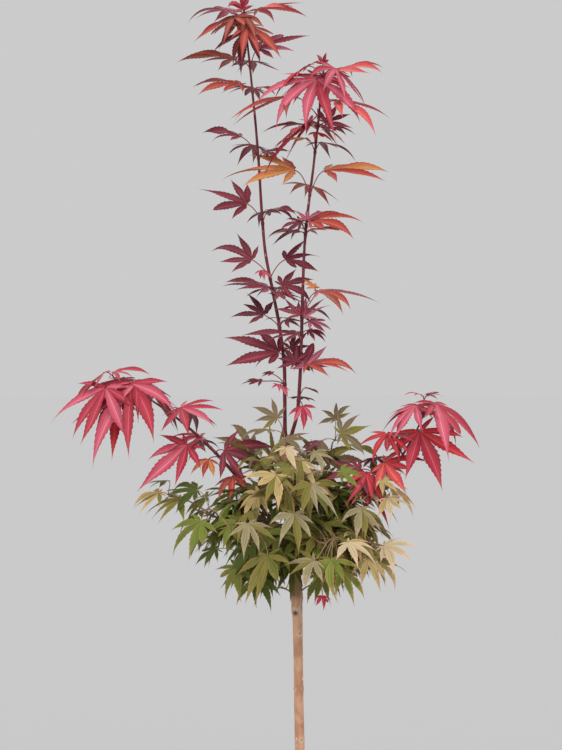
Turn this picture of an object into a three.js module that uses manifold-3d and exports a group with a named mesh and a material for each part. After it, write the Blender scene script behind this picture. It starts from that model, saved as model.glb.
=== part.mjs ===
// A young grafted Japanese maple: a clear stem with a graft union, a round green head of boughs,
// two long upright leaders with leaves in pairs, and two arching side boughs with red foliage.
// Millimetres, +Z up. The origin is the middle of the flat cut at ground level. The front faces -Y.
// Each limb is one tapering solid. Each mass of leaves is one uneven solid, cut round its limbs.
import * as THREE from "three";
import { mergeVertices } from "three/addons/utils/BufferGeometryUtils.js";
import Module from "manifold-3d";

const wasm = await Module();
wasm.setup();
const UP = new THREE.Vector3(0, 0, 1);

// ---- Driving dimensions ----

const FORK_HEIGHT = 782; // where the trunk divides into the two leaders
const FORK_X = -15.3;
const HEAD_HEIGHT = 652; // where most of the boughs leave the trunk
const HEAD_X = -3;
const GRAFT_HEIGHT = 600;
const GROUND_RADIUS = 6.4; // the trunk at the ground, without its root flare
const GRAFT_RADIUS = 4.9;
const FORK_RADIUS = 2.4;
const GRAFT_SWELLING = 1.2;
const GRAFT_SPREAD = 24;
const FLARE = 6.6;
const FLARE_HEIGHT = 13;
const FLARE_RIBS = 5;
const FLARE_RIB_DEPTH = 0.17;

const LEADER_RADIUS = 2.1;
const LEADER_TIP_RADIUS = 1.1;
const BOUGH_TIP_RADIUS = 1;

const TOUCH = 0.35; // clearance between pieces that meet
const SOFTEN = 0.12; // how far small facets left by a cut may be evened out
const SOFTEN_LEAVES = 2; // the same, before a mass is cut round its limbs
const LEAF_LOBES = 5; // fingers of a leaf, on the masses that stand for one or two leaves
const LEAF_CUT = 0.46; // how deep the gaps between its fingers go
const LEAF_WIDTH = 0.42; // of a leaf, each way, as a share of its reach
const LEAF_DEPTH = 0.2;

const BARK = { color: 0x9d7a62, roughness: 0.85 };
const DARK_BARK = { color: 0x4a1f26, roughness: 0.55 };
const CRIMSON = { color: 0xb03a48, roughness: 0.55 };
const BURGUNDY = { color: 0x6b2e38, roughness: 0.55 };
const OLIVE = { color: 0x6f6a3c, roughness: 0.6 };

// ---- Solids ----

function solidOf(geometry) {
  geometry.deleteAttribute("normal");
  geometry.deleteAttribute("uv");
  const merged = mergeVertices(geometry, 1e-3);
  return new wasm.Manifold(
    new wasm.Mesh({
      numProp: 3,
      vertProperties: merged.getAttribute("position").array,
      triVerts: new Uint32Array(merged.index.array),
    }),
  );
}

function geometryOf(solid) {
  const mesh = solid.getMesh();
  const geometry = new THREE.BufferGeometry();
  geometry.setAttribute("position", new THREE.BufferAttribute(mesh.vertProperties, 3));
  geometry.setIndex(new THREE.BufferAttribute(mesh.triVerts, 1));
  geometry.computeVertexNormals();
  return geometry;
}

// The same solid with a clearance added all round it, to cut its neighbours with.
function grown(solid, by) {
  return solid.minkowskiSum(wasm.Manifold.cube([by * 2, by * 2, by * 2], true));
}

function largestBody(solid) {
  return solid.decompose().reduce((best, body) => (body.volume() > best.volume() ? body : best));
}

function movedVertices(geometry, move) {
  const place = geometry.getAttribute("position");
  for (let i = 0; i < place.count; i++) {
    const point = move(new THREE.Vector3().fromBufferAttribute(place, i));
    place.setXYZ(i, point.x, point.y, point.z);
  }
  return geometry;
}

// ---- Limbs: a lathe turned to the limb's taper, then bent along its curve ----

const limbs = new Map();

function rod({ curve, stations, radiusAt, sides, side, ribs }, clearance) {
  const last = stations.length - 1;
  const profile = stations.map((s, i) => new THREE.Vector2(radiusAt(s) + clearance, i));
  profile.unshift(new THREE.Vector2(0, 0));
  profile.push(new THREE.Vector2(0, last));
  return movedVertices(new THREE.LatheGeometry(profile, sides), (turned) => {
    const i = Math.round(turned.y);
    const s = stations[i];
    const tangent = curve.getTangentAt(s);
    const normal = side.clone().addScaledVector(tangent, -side.dot(tangent)).normalize();
    const across = tangent.clone().cross(normal);
    const swell = ribs ? ribs(s, Math.atan2(turned.z, turned.x)) : 1;
    const past = i === 0 ? -clearance : i === last ? clearance : 0;
    return curve
      .getPointAt(s)
      .addScaledVector(across, turned.x * swell)
      .addScaledVector(normal, turned.z * swell)
      .addScaledVector(tangent, past);
  });
}

function evenStations(count) {
  return Array.from({ length: count + 1 }, (_, i) => i / count);
}

function addLimb(name, finish, shape) {
  const solid = solidOf(rod(shape, 0));
  limbs.set(name, { name, finish, solid, cutter: solidOf(rod(shape, TOUCH)), ...shape });
}

// A heading from degrees round the trunk, anticlockwise from +X seen from above, and degrees of climb.
function heading(round, climb) {
  const across = Math.cos(THREE.MathUtils.degToRad(climb));
  const angle = THREE.MathUtils.degToRad(round);
  return new THREE.Vector3(
    Math.cos(angle) * across,
    Math.sin(angle) * across,
    Math.sin(THREE.MathUtils.degToRad(climb)),
  );
}

function shareAtHeight(curve, height) {
  let low = 0;
  let high = 1;
  for (let i = 0; i < 30; i++) {
    const middle = (low + high) / 2;
    if (curve.getPointAt(middle).z < height) low = middle;
    else high = middle;
  }
  return low;
}

// A limb's flat foot stands on its parent's bark with only the clearance between them.
function footOn(parent, share, leaving, radius) {
  const tangent = parent.curve.getTangentAt(share);
  const along = leaving.dot(tangent);
  const outward = leaving.clone().addScaledVector(tangent, -along).normalize();
  const distance = parent.radiusAt(share) + TOUCH + radius * Math.abs(along);
  return parent.curve.getPointAt(share).addScaledVector(outward, distance);
}

// A bough leaves its parent on one heading and arrives at its tip on another.
function addBough(name, finish, { parent, height, round, climb, tip, arrive, radius, steps = 6 }) {
  const carrier = limbs.get(parent);
  const leaving = heading(round, climb);
  const foot = footOn(carrier, shareAtHeight(carrier.curve, height), leaving, radius);
  const end = new THREE.Vector3(...tip);
  const chord = end.clone().sub(foot);
  const bearing = THREE.MathUtils.radToDeg(Math.atan2(chord.y, chord.x));
  const pull = chord.length() * 0.36;
  addLimb(name, finish, {
    curve: new THREE.CubicBezierCurve3(
      foot,
      foot.clone().addScaledVector(leaving, pull),
      end.clone().addScaledVector(heading(bearing, arrive), -pull),
      end,
    ),
    stations: evenStations(steps),
    radiusAt: (s) => THREE.MathUtils.lerp(radius, BOUGH_TIP_RADIUS, s),
    sides: 6,
    side: new THREE.Vector3(-chord.y, chord.x, 0).normalize(),
  });
}

// ---- The trunk: root flare, clear stem, graft union, and the stem through the head to its fork ----

const trunkCurve = new THREE.CatmullRomCurve3([
  new THREE.Vector3(0, 0, 0),
  new THREE.Vector3(0, 0, 60),
  new THREE.Vector3(3, 2, 250),
  new THREE.Vector3(0.5, -1.5, 470),
  new THREE.Vector3(-1.8, 0, GRAFT_HEIGHT),
  new THREE.Vector3(HEAD_X, 0, HEAD_HEIGHT),
  new THREE.Vector3(-9.5, 0, 710),
  new THREE.Vector3(FORK_X, 0, 750),
  new THREE.Vector3(FORK_X, 0, FORK_HEIGHT),
]);

const flareAt = (height) => Math.exp(-height / FLARE_HEIGHT);

function trunkRadius(s) {
  const height = s * FORK_HEIGHT;
  const aboveGraft = Math.max(0, height - GRAFT_HEIGHT) / (FORK_HEIGHT - GRAFT_HEIGHT);
  const belowGraft = Math.min(1, height / GRAFT_HEIGHT);
  const stem = THREE.MathUtils.lerp(GROUND_RADIUS, GRAFT_RADIUS, belowGraft);
  const union = Math.exp(-(((height - GRAFT_HEIGHT) / GRAFT_SPREAD) ** 2));
  const head = (GRAFT_RADIUS - FORK_RADIUS) * aboveGraft ** 0.8;
  return stem - head + FLARE * flareAt(height) + GRAFT_SWELLING * union;
}

const trunkHeights = [0, 5, 11, 20, 34, 60, 150, 250, 350, 450, 530, 575, 600, 622, 645, 680, 715, 750];

addLimb("trunk", BARK, {
  curve: trunkCurve,
  stations: [...trunkHeights.map((height) => height / FORK_HEIGHT), 1],
  radiusAt: trunkRadius,
  ribs: (s, angle) => 1 + FLARE_RIB_DEPTH * flareAt(s * FORK_HEIGHT) * Math.cos(FLARE_RIBS * angle),
  sides: 13,
  side: new THREE.Vector3(0, 1, 0),
});

// ---- The two leaders ----

function addLeader(name, foot, leaving, points) {
  const course = points.map((point) => new THREE.Vector3(...point));
  addLimb(name, DARK_BARK, {
    curve: new THREE.CatmullRomCurve3([foot, foot.clone().addScaledVector(leaving, 9), ...course]),
    stations: evenStations(12),
    radiusAt: (s) => THREE.MathUtils.lerp(LEADER_RADIUS, LEADER_TIP_RADIUS, s),
    sides: 7,
    side: new THREE.Vector3(0, 1, 0),
  });
}

const leftFoot = new THREE.Vector3(FORK_X, 0, FORK_HEIGHT + TOUCH);
addLeader("leader_left", leftFoot, heading(0, 90), [
  [-15.4, 1, 830],
  [-17, 4, 872],
  [-26, 8, 927],
  [-37, 11, 985],
  [-45.5, 14, 1100],
  [-54, 17, 1190],
  [-61.5, 19, 1260],
]);

const rightLeaving = heading(-25, 52);
const rightFoot = footOn(limbs.get("trunk"), 0.987, rightLeaving, LEADER_RADIUS);
addLeader("leader_right", rightFoot, rightLeaving, [
  [0.2, -7, 830],
  [2.2, -9, 868],
  [4.2, -11, 940],
  [7, -13, 1000],
  [17, -15, 1085],
  [26.5, -16, 1178],
]);

// ---- The boughs: name, bark, where each leaves its parent, and where it ends among leaves ----

addBough("bough_red_left", DARK_BARK, {
  parent: "trunk",
  height: 664,
  round: 184,
  climb: 52,
  tip: [-172, -6, 826],
  arrive: 30,
  radius: 2.5,
  steps: 8,
});
addBough("bough_red_right", DARK_BARK, {
  parent: "trunk",
  height: 656,
  round: -6,
  climb: 20,
  tip: [128, -8, 786],
  arrive: 62,
  radius: 2.4,
  steps: 8,
});
addBough("bough_green_left", BARK, {
  parent: "trunk",
  height: 646,
  round: 196,
  climb: 28,
  tip: [-112, -18, 702],
  arrive: 18,
  radius: 2.2,
});
addBough("bough_green_right", BARK, {
  parent: "trunk",
  height: 642,
  round: 14,
  climb: 26,
  tip: [74, 8, 680],
  arrive: 8,
  radius: 2,
});
addBough("bough_green_front_left", BARK, {
  parent: "trunk",
  height: 655,
  round: 236,
  climb: 40,
  tip: [-52, -66, 700],
  arrive: 12,
  radius: 2.1,
});
addBough("bough_green_front_right", BARK, {
  parent: "trunk",
  height: 643,
  round: 306,
  climb: 34,
  tip: [40, -68, 684],
  arrive: 10,
  radius: 2.1,
});
addBough("bough_green_back_left", BARK, {
  parent: "trunk",
  height: 648,
  round: 134,
  climb: 36,
  tip: [-66, 68, 706],
  arrive: 14,
  radius: 2.1,
});
addBough("bough_green_back_right", BARK, {
  parent: "trunk",
  height: 652,
  round: 52,
  climb: 34,
  tip: [54, 70, 694],
  arrive: 10,
  radius: 2.1,
});
addBough("bough_green_back", BARK, {
  parent: "trunk",
  height: 668,
  round: 92,
  climb: 48,
  tip: [-8, 66, 752],
  arrive: 40,
  radius: 1.9,
});
addBough("shoot_front", BARK, {
  parent: "trunk",
  height: 700,
  round: 268,
  climb: 44,
  tip: [-12, -44, 742],
  arrive: 34,
  radius: 1.7,
  steps: 5,
});
addBough("shoot_upper_left", BARK, {
  parent: "trunk",
  height: 692,
  round: 218,
  climb: 58,
  tip: [-36, -24, 774],
  arrive: 66,
  radius: 1.7,
  steps: 5,
});
addBough("shoot_upper_right", BARK, {
  parent: "trunk",
  height: 680,
  round: 8,
  climb: 46,
  tip: [42, 2, 768],
  arrive: 62,
  radius: 1.7,
  steps: 5,
});

// ---- Masses of leaves ----

const masses = [];

function boxesMeet(a, b) {
  const first = a.boundingBox();
  const second = b.boundingBox();
  return [0, 1, 2].every((k) => first.min[k] < second.max[k] && second.min[k] < first.max[k]);
}

function addMass(name, finish, shapes) {
  const whole = shapes.reduce((sum, shape) => sum.add(shape)).simplify(SOFTEN_LEAVES);
  let solid = whole;
  for (const other of [...limbs.values(), ...masses]) {
    if (boxesMeet(solid, other.cutter)) solid = solid.subtract(other.cutter);
  }
  solid = largestBody(solid.simplify(SOFTEN));
  masses.push({ name, finish, solid, cutter: grown(solid, TOUCH).simplify(SOFTEN) });
}

// A leaf reaches out from a point on its stem and hangs down towards its tip. Its fingers spread
// in its own plane, and the gap between the hindmost two holds the stem.
function leafFrom([x, y, z], [turn, reach, droop]) {
  const size = new THREE.Vector3(0.63, LEAF_WIDTH, LEAF_DEPTH).multiplyScalar(reach);
  const centre = heading(turn, 0).multiplyScalar(reach * 0.37).add(new THREE.Vector3(x, y, z));
  const disc = new THREE.SphereGeometry(1, 2 * LEAF_LOBES, 2).rotateX(Math.PI / 2);
  const shape = movedVertices(disc, (direction) => {
    const across = Math.hypot(direction.x, direction.y);
    const gap = 1 - Math.cos(LEAF_LOBES * Math.atan2(direction.y, direction.x));
    const point = direction.clone().multiply(size).multiplyScalar(1 - (LEAF_CUT * across * gap) / 2);
    point.z -= (droop * (point.x / size.x + 1) ** 2) / 4;
    return point.applyAxisAngle(UP, THREE.MathUtils.degToRad(turn)).add(centre);
  });
  return solidOf(shape);
}

function tuft([x, y, z], half) {
  const ball = new THREE.IcosahedronGeometry(1, 0).scale(...half).translate(x, y, z);
  return solidOf(ball);
}

// A cluster of the head: a tuft of stalks under a ring of hanging leaves.
function addCluster(name, at, half, leaves, firstTurn) {
  const [x, y, z] = at;
  const shapes = [tuft([x, y, z], [half[0] * 0.66, half[1] * 0.66, half[2] * 0.8])];
  for (let i = 0; i < leaves; i++) {
    const turn = firstTurn + (i * 360) / leaves;
    const angle = THREE.MathUtils.degToRad(turn);
    const reach = Math.hypot(half[0] * Math.cos(angle), half[1] * Math.sin(angle));
    const lift = half[2] * (i % 2 ? 0.55 : 0.3);
    const droop = half[2] * (i % 2 ? 1 : 1.3);
    shapes.push(leafFrom([x, y, z + lift], [turn, reach, droop]));
  }
  addMass(name, OLIVE, shapes);
}

// The leaves at one node of a leader. Each is given as its turn, its reach and its droop.
function addWhorl(name, finish, leader, height, leaves) {
  const { curve } = limbs.get(leader);
  const node = curve.getPointAt(shareAtHeight(curve, height)).toArray();
  addMass(name, finish, leaves.map((leaf) => leafFrom(node, leaf)));
}

// The head of green leaves, from its heart outwards: name, middle, half sizes, leaves, first turn.
addCluster("leaves_heart_left", [-50, -2, 706], [50, 46, 40], 3, 170);
addCluster("leaves_heart_right", [36, 0, 712], [48, 48, 44], 3, 20);
addCluster("leaves_low_left", [-44, -22, 636], [54, 48, 42], 4, 200);
addCluster("leaves_low_right", [46, 4, 640], [56, 50, 40], 4, -10);
addCluster("leaves_low_back", [-20, 60, 642], [52, 46, 40], 3, 96);
addCluster("leaves_left", [-128, -12, 688], [58, 44, 46], 5, 184);
addCluster("leaves_right", [82, -14, 668], [48, 48, 50], 4, -8);
addCluster("leaves_front_left", [-62, -80, 676], [54, 50, 52], 4, 236);
addCluster("leaves_front_right", [42, -84, 668], [56, 50, 52], 4, 312);
addCluster("leaves_back_left", [-80, 76, 682], [56, 52, 52], 4, 128);
addCluster("leaves_back_right", [58, 80, 676], [58, 52, 52], 4, 50);
addCluster("leaves_back", [-10, 72, 744], [52, 46, 46], 4, 90);
addCluster("leaves_front", [-10, -56, 738], [50, 44, 44], 4, 262);
addCluster("leaves_upper_left", [-38, -18, 782], [36, 34, 34], 3, 210);
addCluster("leaves_upper_right", [46, 2, 782], [36, 34, 34], 3, -20);

// Red leaves on the two arching boughs: leaves that hang round a tuft of stalks.
function addTassel(name, tufts, leaves) {
  const stalks = tufts.map(([at, half]) => tuft(at, half));
  addMass(name, CRIMSON, [...stalks, ...leaves.map(([at, leaf]) => leafFrom(at, leaf))]);
}

addTassel("leaves_red_left_tip", [[[-170, -6, 822], [26, 24, 24]]], [
  [[-172, -8, 832], [180, 90, 84]],
  [[-166, -12, 822], [236, 74, 70]],
  [[-168, 2, 822], [128, 74, 64]],
  [[-150, -4, 818], [-24, 46, 60]],
]);
addTassel("leaves_red_left_middle", [[[-118, -3, 784], [22, 20, 20]]], [
  [[-122, -6, 782], [206, 66, 60]],
  [[-116, 2, 790], [110, 52, 34]],
  [[-112, -8, 790], [-40, 48, 30]],
]);
addTassel("leaves_red_left_inner", [[[-82, -4, 756], [17, 15, 15]]], [
  [[-82, -8, 762], [-12, 62, 22]],
  [[-84, -2, 754], [222, 44, 34]],
]);
addTassel("leaves_red_right_tip", [[[130, -8, 798], [24, 22, 26]]], [
  [[134, -8, 814], [-4, 64, 50]],
  [[128, -10, 806], [232, 56, 52]],
  [[124, -2, 808], [140, 56, 30]],
  [[138, -12, 786], [-62, 50, 60]],
]);
addTassel("leaves_red_right_inner", [[[92, -6, 744], [20, 19, 22]]], [
  [[92, -8, 748], [198, 62, 30]],
  [[94, -8, 744], [-24, 46, 42]],
  [[84, -10, 728], [-84, 44, 40]],
]);

// Leaves in pairs up the two leaders, and a tassel at the top of each.
addWhorl("leaves_left_tip", CRIMSON, "leader_left", 1246, [
  [184, 66, 34],
  [6, 62, 26],
  [262, 52, 44],
  [86, 50, 40],
]);
addWhorl("leaves_left_8", BURGUNDY, "leader_left", 1192, [
  [196, 70, 28],
  [18, 58, 26],
]);
addWhorl("leaves_left_7", BURGUNDY, "leader_left", 1156, [
  [150, 68, 10],
  [-34, 44, 14],
]);
addWhorl("leaves_left_6", BURGUNDY, "leader_left", 1118, [
  [204, 58, 16],
  [26, 44, 10],
]);
addWhorl("leaves_left_5", BURGUNDY, "leader_left", 1080, [
  [128, 46, 14],
  [-44, 52, 8],
]);
addWhorl("leaves_left_4", BURGUNDY, "leader_left", 1048, [
  [186, 78, 18],
  [4, 42, 16],
]);
addWhorl("leaves_left_3", BURGUNDY, "leader_left", 996, [
  [166, 70, 18],
  [-30, 40, 16],
]);
addWhorl("leaves_left_2", BURGUNDY, "leader_left", 948, [
  [198, 68, 20],
  [42, 44, 14],
]);
addWhorl("leaves_left_1", BURGUNDY, "leader_left", 888, [
  [172, 62, 20],
  [-58, 34, 16],
]);
addWhorl("leaves_right_tip", CRIMSON, "leader_right", 1174, [
  [186, 62, 46],
  [-6, 84, 34],
  [-78, 64, 60],
  [88, 60, 54],
]);
addWhorl("leaves_right_8", CRIMSON, "leader_right", 1128, [
  [212, 56, 48],
  [-22, 94, 52],
]);
addWhorl("leaves_right_7", BURGUNDY, "leader_right", 1076, [
  [166, 46, 14],
  [4, 78, 10],
]);
addWhorl("leaves_right_6", BURGUNDY, "leader_right", 1026, [
  [222, 46, 18],
  [-18, 62, 26],
]);
addWhorl("leaves_right_5", BURGUNDY, "leader_right", 990, [
  [148, 46, 12],
  [-38, 44, 18],
]);
addWhorl("leaves_right_4", BURGUNDY, "leader_right", 944, [
  [196, 40, 12],
  [6, 74, 6],
]);
addWhorl("leaves_right_3", BURGUNDY, "leader_right", 914, [
  [118, 44, 14],
  [-52, 46, 14],
]);
addWhorl("leaves_right_2", BURGUNDY, "leader_right", 878, [
  [206, 38, 14],
  [-14, 58, 24],
]);
addWhorl("leaves_right_1", CRIMSON, "leader_right", 816, [
  [92, 32, 12],
  [-66, 34, 12],
]);

// ---- The part ----

const part = new THREE.Group();
part.name = "maple_tree";
for (const { name, finish, solid } of [...limbs.values(), ...masses]) {
  const mesh = new THREE.Mesh(geometryOf(solid), new THREE.MeshStandardMaterial(finish));
  mesh.name = name;
  part.add(mesh);
}

export default part;
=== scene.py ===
import math

import bpy
import numpy as np
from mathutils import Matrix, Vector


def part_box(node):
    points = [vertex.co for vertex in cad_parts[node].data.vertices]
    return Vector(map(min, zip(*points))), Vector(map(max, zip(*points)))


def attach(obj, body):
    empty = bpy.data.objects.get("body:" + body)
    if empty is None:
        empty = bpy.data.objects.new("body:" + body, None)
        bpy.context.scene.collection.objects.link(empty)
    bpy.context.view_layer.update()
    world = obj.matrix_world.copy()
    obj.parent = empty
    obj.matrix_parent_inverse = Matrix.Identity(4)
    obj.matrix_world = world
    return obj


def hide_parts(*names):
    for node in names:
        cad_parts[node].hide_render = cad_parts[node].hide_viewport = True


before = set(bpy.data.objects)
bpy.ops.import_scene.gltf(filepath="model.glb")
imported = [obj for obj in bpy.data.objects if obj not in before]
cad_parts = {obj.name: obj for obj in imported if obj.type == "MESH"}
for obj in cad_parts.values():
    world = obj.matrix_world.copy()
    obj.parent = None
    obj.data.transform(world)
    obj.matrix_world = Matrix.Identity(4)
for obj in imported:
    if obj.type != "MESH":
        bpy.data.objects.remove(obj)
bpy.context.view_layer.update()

# The looks of a young grafted Japanese maple. Lengths in the tables are in millimetres and
# turns are in degrees, anticlockwise from +X seen from above. The front faces -Y.

MM = 0.001
UP = np.array((0.0, 0.0, 1.0))
FRONT = np.array((0.0, -1.0, 0.0))


# ---- Small helpers ----

def unit(vector):
    return vector / np.linalg.norm(vector)


def heading(turn, climb=0.0):
    """The unit vector of a turn and a climb in degrees."""
    turn, climb = math.radians(turn), math.radians(climb)
    across = math.cos(climb)
    return np.array((math.cos(turn) * across, math.sin(turn) * across, math.sin(climb)))


def rolled(vector, axis, degrees):
    """A vector turned round a unit axis."""
    angle = math.radians(degrees)
    kept = axis * (axis @ vector) * (1 - math.cos(angle))
    return vector * math.cos(angle) + np.cross(axis, vector) * math.sin(angle) + kept


def square_to(direction, wanted):
    """The part of wanted that is square to direction, as a unit vector."""
    return unit(wanted - (wanted @ direction) * direction)


def ease(low, high, value):
    """A smooth step from 0 at low to 1 at high."""
    t = np.clip((value - low) / (high - low), 0, 1)
    return t * t * (3 - 2 * t)


def hump(offset, width):
    """1 in the middle, falling away smoothly to both sides."""
    return np.exp(-((offset / width) ** 2))


def reseed(seed):
    global rng
    rng = np.random.default_rng(seed)


def jitter(size):
    return rng.uniform(-size, size, 3)


def show(name, data):
    """A new object in the scene."""
    item = bpy.data.objects.new(name, data)
    bpy.context.scene.collection.objects.link(item)
    return item


# ---- Materials ----

def linear(colour):
    """A screen colour, with parts up to 255, as the linear one that a shader takes."""
    share = np.array(colour) / 255
    return tuple(np.where(share <= 0.04045, share / 12.92, ((share + 0.055) / 1.055) ** 2.4)) + (1.0,)


def new_material(name):
    material = bpy.data.materials.new(name)
    material.use_nodes = True
    nodes = material.node_tree.nodes
    return material, nodes, nodes["Principled BSDF"]


def set_inputs(node, inputs):
    """Gives each input its constant, or links it to the output of another node."""
    for key, value in inputs.items():
        if isinstance(value, bpy.types.NodeSocket):
            node.id_data.links.new(value, node.inputs[key])
        else:
            node.inputs[key].default_value = value


def add_node(nodes, kind, inputs, **settings):
    """A new node's outputs. Its settings are made first, as they decide which inputs it has."""
    node = nodes.new("ShaderNode" + kind)
    for key, value in settings.items():
        setattr(node, key, value)
    set_inputs(node, inputs)
    return node.outputs


def add_math(nodes, operation, *values):
    return add_node(nodes, "Math", dict(enumerate(values)), operation=operation)[0]


def add_noise(nodes, place, scale, detail, roughness=0.5):
    inputs = {"Vector": place, "Scale": scale, "Detail": detail, "Roughness": roughness}
    return add_node(nodes, "TexNoise", inputs)["Fac"]


def add_ramp(nodes, value, start=0.0, end=1.0, low=0.0, high=1.0, curve="LINEAR"):
    """Carries what lies between start and end over to between low and high."""
    inputs = {"Value": value, "From Min": start, "From Max": end, "To Min": low, "To Max": high}
    return add_node(nodes, "MapRange", inputs, interpolation_type=curve)["Result"]


def add_mix(nodes, share, first, second, blend="MIX"):
    inputs = {"Factor": share, "A": first, "B": second}
    return add_node(nodes, "Mix", inputs, data_type="RGBA", blend_type=blend)["Result"]


def add_bump(nodes, height, strength, depth):
    return add_node(nodes, "Bump", {"Height": height, "Strength": strength, "Distance": depth})["Normal"]


def body_place(nodes):
    """The place in space, which moves with the object."""
    return add_node(nodes, "TexCoord", {})["Object"]


def stored_place(nodes):
    """What the mesh stores at each point: on a leaf its place on the blade, on the trunk its marks."""
    return add_node(nodes, "SeparateXYZ", {"Vector": add_node(nodes, "UVMap", {}, uv_map="blade")["UV"]})


# The zones of a leaf's blade, from its midribs to its edge. Each tint gives one colour to each.
ZONES = ("vein", "heart", "blade", "edge")
# Of the red tints, rose's paler pink is partly painted sheen, and the bright scarlet and flame are partly
# painted light shining through a lobe.
TINTS = {
    "crimson": ((206, 98, 112), (188, 48, 68), (174, 40, 60), (146, 34, 50)),
    "rose": ((228, 142, 154), (211, 94, 115), (200, 76, 98), (182, 60, 80)),
    "scarlet": ((220, 98, 102), (204, 46, 58), (194, 36, 50), (158, 32, 44)),
    "flame": ((236, 134, 118), (222, 88, 74), (212, 72, 80), (192, 58, 78)),
    "wine": ((164, 78, 92), (141, 44, 62), (128, 35, 52), (106, 29, 43)),
    "orchid": ((204, 126, 144), (176, 90, 110), (164, 76, 96), (138, 58, 78)),
    "ember": ((210, 114, 88), (190, 78, 58), (178, 60, 52), (146, 44, 46)),
    "copper": ((194, 114, 82), (164, 76, 54), (150, 62, 52), (122, 46, 46)),
    "amber": ((226, 172, 104), (208, 140, 68), (204, 122, 64), (192, 84, 64)),
    "burgundy": ((156, 74, 86), (130, 40, 58), (118, 33, 50), (94, 26, 40)),
    "plum": ((134, 62, 76), (112, 36, 54), (98, 30, 47), (78, 24, 38)),
    "olive": ((142, 136, 73), (116, 116, 46), (130, 116, 52), (149, 124, 67)),
    "sage": ((168, 160, 121), (138, 133, 92), (158, 143, 107), (178, 155, 124)),
    "bronze": ((145, 130, 99), (114, 108, 72), (124, 104, 78), (136, 104, 81)),
    "straw": ((200, 184, 128), (168, 153, 92), (189, 161, 106), (208, 171, 124)),
    "blush": ((216, 202, 164), (188, 177, 130), (208, 181, 147), (224, 189, 162)),
    "moss": ((118, 123, 57), (97, 107, 38), (112, 110, 44), (131, 118, 59)),
    "deep": ((85, 98, 39), (68, 86, 24), (78, 88, 29), (92, 91, 37)),
    "fresh": ((124, 141, 57), (102, 126, 38), (118, 124, 47), (135, 126, 57)),
    "lime": ((144, 156, 75), (108, 132, 44), (144, 134, 64), (174, 143, 87)),
}
# The tint that some of a leaf's lobes take instead of its own: tone that differs from lobe to lobe, and on
# the red leaves partly painted light, a paler kin standing for sheen and a darker one for shade.
LOBE_TONE_AND_LIGHT = {
    "crimson": "rose", "rose": "crimson", "scarlet": "crimson", "flame": "scarlet", "wine": "burgundy",
    "orchid": "wine", "ember": "copper", "copper": "wine", "amber": "ember", "burgundy": "wine",
    "plum": "burgundy", "olive": "moss", "sage": "olive", "bronze": "olive", "straw": "olive",
    "blush": "straw", "moss": "fresh", "deep": "moss", "fresh": "moss", "lime": "fresh",
}
LOBE_TONE_AND_LIGHT_SHARE = 0.28
DULL_TINTS = ("olive", "sage", "bronze", "straw", "blush", "moss", "deep", "fresh", "lime")
DULL_SHINE, RED_SHINE = 0.22, 0.38
SIDE_VEINS = 26.0  # on the two sides of a leaf's longest lobe together
VEIN_SLANT = 1.7
SCAR_CORE = (104, 62, 44)


def leaf_material(name, colour, shine):
    """Plain colour, with fine side veins in relief and a patchy gloss."""
    material, nodes, shader = new_material(name)
    place = stored_place(nodes)
    across = add_math(nodes, "ABSOLUTE", place["Y"])
    slanted = add_math(nodes, "MULTIPLY_ADD", across, -VEIN_SLANT, place["X"])
    veins = add_math(nodes, "PINGPONG", add_math(nodes, "MULTIPLY", slanted, SIDE_VEINS), 1.0)
    body = body_place(nodes)
    cells = add_noise(nodes, body, scale=900.0, detail=3.0, roughness=0.6)
    patches = add_noise(nodes, body, scale=160.0, detail=2.0)
    height = add_math(nodes, "MULTIPLY_ADD", cells, 0.6, veins)
    set_inputs(shader, {
        "Base Color": linear(colour),
        "Specular IOR Level": shine,
        "Sheen Weight": shine * 0.2,
        "Sheen Roughness": 0.5,
        "Roughness": add_ramp(nodes, patches, low=0.42, high=0.66),
        "Normal": add_bump(nodes, height, strength=0.45, depth=0.25 * MM),
    })
    return material


def stalk_material(name, young, old):
    """A twig's or a leaf stalk's skin: two colours that run together in small patches."""
    material, nodes, shader = new_material(name)
    patches = add_noise(nodes, body_place(nodes), scale=120.0, detail=3.0, roughness=0.6)
    set_inputs(shader, {
        "Base Color": add_mix(nodes, add_ramp(nodes, patches, 0.38, 0.62), linear(young), linear(old)),
        "Specular IOR Level": 0.4,
        "Roughness": add_ramp(nodes, patches, low=0.38, high=0.6),
        "Normal": add_bump(nodes, patches, strength=0.3, depth=0.2 * MM),
    })
    return material


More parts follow.
